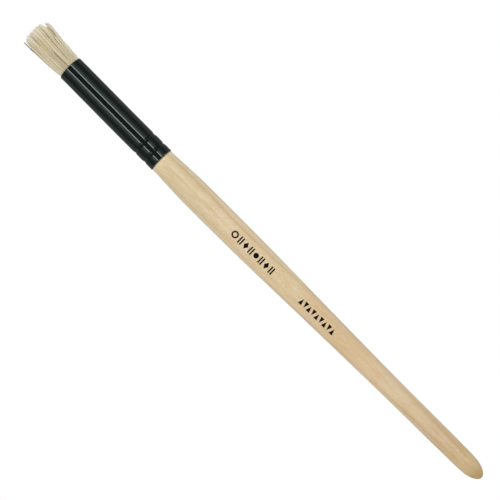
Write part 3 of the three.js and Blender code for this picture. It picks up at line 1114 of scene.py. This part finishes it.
def triangle(x, side, width, height, wide_end):
    """Rows that narrow to a point. The wide end is towards +Y for wide_end 1, -Y for -1."""
    rows, points, faces = 8, [], []
    for i in range(rows):
        half = width / 2 * (1 - i / rows)
        row_side = side + (height / 2 - height * i / rows) * wide_end
        points += [(x - half, row_side), (x, row_side), (x + half, row_side)]
    points.append((x, side - height / 2 * wide_end))
    for i in range(rows - 1):
        here, below = 3 * i, 3 * i + 3
        faces += [[here, here + 1, below + 1, below], [here + 1, here + 2, below + 2, below + 1]]
    last = 3 * (rows - 1)
    faces += [[last, last + 1, last + 3], [last + 1, last + 2, last + 3]]
    return np.array(points), faces


def ring(x, side, outer, inner):
    angle = np.arange(CIRCLE_POINTS) / CIRCLE_POINTS * 2 * math.pi
    points = np.concatenate([
        np.stack([x + radius * np.cos(angle), side + radius * np.sin(angle)], 1)
        for radius in np.linspace(inner, outer, CIRCLE_ROWS)
    ])
    here = np.arange(len(points)).reshape(CIRCLE_ROWS, CIRCLE_POINTS)
    beside = np.roll(here, -1, 1)
    faces = np.stack([here[:-1], here[1:], beside[1:], beside[:-1]], 2).reshape(-1, 4)
    return points, faces.tolist()


def disc(x, side, radius):
    points, faces = ring(x, side, radius, radius * 0.3)
    middle = len(points)
    faces += [[middle, k, (k + 1) % CIRCLE_POINTS] for k in range(CIRCLE_POINTS)]
    return np.vstack([points, [[x, side]]]), faces


def runs_clockwise(corners):
    x, side = corners.T
    return np.dot(x, np.roll(side, -1)) < np.dot(np.roll(x, -1), side)


def add_ink(name, shapes):
    """Solid ink patches: each flat shape wrapped round the handle and given its thickness."""
    layers, faces, first = [], [], 0
    for flat, flat_faces in shapes:
        if runs_clockwise(flat[flat_faces[0]]):  # faces must look outwards
            flat_faces = [face[::-1] for face in flat_faces]
        count = len(flat)
        x, surface = flat[:, 0], handle_radius(flat[:, 0])
        angle = flat[:, 1] / surface
        for height in (INK_LIFT, -INK_SINK):
            radius = surface + height + turning(x, angle)
            layers.append(np.stack([x, radius * np.sin(angle), radius * np.cos(angle)], 1))
        for face in flat_faces:
            faces.append([first + k for k in face])
            faces.append([first + count + k for k in face[::-1]])
        edges = [edge for face in flat_faces for edge in zip(face, face[1:] + face[:1])]
        directed = set(edges)
        for p, q in edges:
            if (q, p) not in directed:  # a wall along the outline
                faces.append([first + q, first + p, first + count + p, first + count + q])
        first += 2 * count
    add_mesh(name, np.vstack(layers), faces, INK, smooth=False)


def ornament(kind, x):
    side, height, bar_offset = 0.28, 2.2, 0.38
    if kind == "bars":
        return [bar(x + offset, side, 0.43, height) for offset in (-bar_offset, bar_offset)]
    if kind == "diamond":
        return [diamond(x, side, 1.4, height)]
    return [disc(x, side, 0.76)]


def build_marks():
    add_ink("size_mark", [ring(-77.05, 0.22, outer=1.03, inner=0.60)])

    kinds = ["bars", "diamond", "bars", "disc", "bars", "diamond", "bars"]
    start, pitch = -79.3, 1.9
    shapes = []
    for k, kind in enumerate(kinds):
        shapes += ornament(kind, start - k * pitch)
    add_ink("ornament_band", shapes)

    start, pitch = -102.3, 1.44
    shapes = [
        triangle(start - k * pitch, 0.40, width=1.22, height=1.75, wide_end=(-1) ** k)
        for k in range(9)
    ]
    add_ink("triangle_band", shapes)


build_handle()
build_ferrule()
build_resin()
build_thread()
build_bristles()
build_marks()

# ------------------------------------------------------------------------------------------------
# Stage: pale floor, studio light, camera
# ------------------------------------------------------------------------------------------------
scene = bpy.context.scene
scene.view_settings.view_transform = "Standard"
scene.view_settings.look = "None"
scene.view_settings.exposure = 0.0
scene.view_settings.gamma = 1.0


def dress_floor(floor_data):
    """Seen from above it is plain white paper lit from below; seen from the side it shows soft
    shadows. In mirrors it is grey."""
    mat = Material("floor_white")
    path = mat.node("LightPath")
    steepness = mat.xyz(mat.node("NewGeometry").outputs["Incoming"])[2]
    camera_ray = path.outputs["Is Camera Ray"]
    speckle = mat.noise(mat.coords, scale=40.0, detail=2.0, roughness=0.5)
    pale = mat.mix(speckle, (0.85, 0.85, 0.85), (0.87, 0.87, 0.87))
    lit = mat.remap(steepness, span=(0.5, 0.9), to=(0.14, 1.0))
    seen = mat.mix(camera_ray, pale, mat.mix(lit, pale, (0.0, 0.0, 0.0)))
    mat.finish(
        color=mat.mix(path.outputs["Is Glossy Ray"], seen, (0.29, 0.295, 0.29)),
        rough=0.9, specular=0.0, glow=(1.0, 1.0, 1.0),
        glow_strength=mat.times(camera_ray, mat.times(lit, 1.01)),
    )
    mat.material.cycles.emission_sampling = "NONE"  # it lights nothing, it is only seen
    floor_data.materials.append(mat.material)


def build_floor():
    """The brush rests on the handle's belly and on the tuft, which is a little fatter, so the
    floor falls away very slightly towards the tuft."""
    half_size = 6.0  # metres
    belly_x, belly_height = -66.0, -3.995
    slope = (4.31 - 3.99) / 64.0  # the tuft's radius less the belly's, over their distance
    corners = [(-1, -1), (1, -1), (1, 1), (-1, 1)]
    points = [
        (i * half_size, j * half_size,
         belly_height * MM - slope * (i * half_size - belly_x * MM))
        for i, j in corners
    ]
    data = bpy.data.meshes.new("floor")
    data.from_pydata(points, [], [(0, 1, 2, 3)])
    floor = bpy.data.objects.new("floor", data)
    scene.collection.objects.link(floor)
    dress_floor(data)


NEUTRAL, GREEN, COOL = (1, 1, 1), (0.90, 1.06, 1.0), (0.93, 1.03, 1.01)
BOX_TINT = (0.97, 1.02, 1.0)
RADIANCE_SCALE = 20.0  # keeps the ramps' colours within 0..1
DOME_TOP, DOME_SIDE = 1.24, 0.82  # light from straight above and from the horizon
LOW_LIGHT = 1.6  # extra light from beyond the tuft

# (degrees from straight up, radiance, tint) mirrored by the middle of the brush: dark overhead,
# a bright strip on each side and a soft bank of light outside it
BANK = [
    (0, 0.03, GREEN), (18.4, 0.05, GREEN), (19.6, 0.6, GREEN), (20.9, 10.3, COOL),
    (23.6, 10.3, COOL), (25.2, 1.5, GREEN), (33.0, 1.08, GREEN), (44.0, 0.60, GREEN),
    (53.0, 0.23, GREEN), (63.0, 0.15, GREEN), (74.0, 0.09, GREEN), (84.0, 0.04, NEUTRAL),
    (92.0, 0.08, NEUTRAL), (180.0, 0.1, NEUTRAL),
]

# (degrees from straight up, radiance) of the plainer soft boxes towards the brush's two ends
BOXES = [
    (0, 0.08), (30.0, 0.08), (46.0, 0.15), (56.0, 0.85), (80.0, 0.85), (88.0, 0.3),
    (95.0, 0.12), (180.0, 0.12),
]


def light(radiance, tint=NEUTRAL):
    return tuple(radiance / RADIANCE_SCALE * channel for channel in tint)


def mirrored_light(graph, x, y, z):
    """What glossy surfaces mirror from the direction (x, y, z)."""
    angle = graph.math("ABSOLUTE", graph.math("ARCTAN2", y, z))
    angle = graph.times(angle, 1 / math.pi)  # from straight up, across the brush
    bank_stops = [(degrees, light(level, tint)) for degrees, level, tint in BANK]
    bank = graph.ramp(angle, within(0, 180, bank_stops))
    box_stops = [(degrees, light(level, BOX_TINT)) for degrees, level in BOXES]
    boxes = graph.ramp(angle, within(0, 180, box_stops))
    reach = graph.math("ABSOLUTE", x)
    bank = graph.mix(graph.remap(reach, span=(0.27, 0.42)), bank, light(0.03))
    mirrored = graph.mix(graph.remap(reach, span=(0.54, 0.66)), bank, boxes)
    return graph.multiply(mirrored, (RADIANCE_SCALE,) * 3)


def dome_light(graph, x, z):
    """What lights the surfaces: a soft dome, stronger from above, and a low light from beyond
    the tuft. Below the horizon is the floor."""
    height = graph.math("MAXIMUM", z, 0.0)
    dome = graph.math("MULTIPLY_ADD", height, DOME_TOP - DOME_SIDE, DOME_SIDE)
    dome = graph.times(dome, graph.math("GREATER_THAN", z, -0.01))
    low = graph.remap(x, span=(0.45, 0.9), to=(0.0, LOW_LIGHT))
    low = graph.times(low, graph.math("GREATER_THAN", z, -0.01))
    low = graph.times(low, graph.remap(z, span=(0.1, 0.4), to=(1.0, 0.0)))
    dome = graph.plus(dome, low)
    return graph.join(dome, dome, dome)


def build_world():
    """The studio, written as the light that arrives from each direction."""
    world = bpy.data.worlds.new("studio")
    scene.world = world
    world.use_nodes = True
    graph = Graph(world.node_tree)
    output = graph.node("OutputWorld")
    x, y, z = graph.xyz(graph.node("TexCoord").outputs["Generated"])
    mirrored = mirrored_light(graph, x, y, z)
    dome = dome_light(graph, x, z)
    path = graph.node("LightPath")
    fill = graph.mix(path.outputs["Is Glossy Ray"], dome, mirrored)
    seen = graph.mix(path.outputs["Is Camera Ray"], fill, (1.0, 1.0, 1.0))
    background = graph.node("Background")
    graph.feed(seen, background.inputs[0])
    background.inputs[1].default_value = 1.0
    graph.tree.links.new(background.outputs[0], output.inputs[0])


def build_camera():
    """Straight down on the lying brush, which runs from the top left of the frame, bristles
    first, to the bottom right."""
    view_width = 135.0  # mm across the frame at the brush
    view_centre = Vector((-82.77 * MM, 0.44 * MM, 0.0))
    turn = math.radians(44.884)
    data = bpy.data.cameras.new("camera")
    data.lens = 100.0
    data.sensor_width = 36.0
    data.clip_start, data.clip_end = 0.01, 50.0
    camera = bpy.data.objects.new("camera", data)
    scene.collection.objects.link(camera)
    scene.camera = camera
    right = Vector((-math.cos(turn), -math.sin(turn), 0))
    up = Vector((math.sin(turn), -math.cos(turn), 0))
    back = Vector((0, 0, 1))
    rotation = Matrix((right, up, back)).transposed()
    distance = view_width * MM * 100.0 / 36.0  # lens over sensor width
    camera.matrix_world = Matrix.Translation(view_centre + back * distance) @ rotation.to_4x4()


build_floor()
build_world()
build_camera()
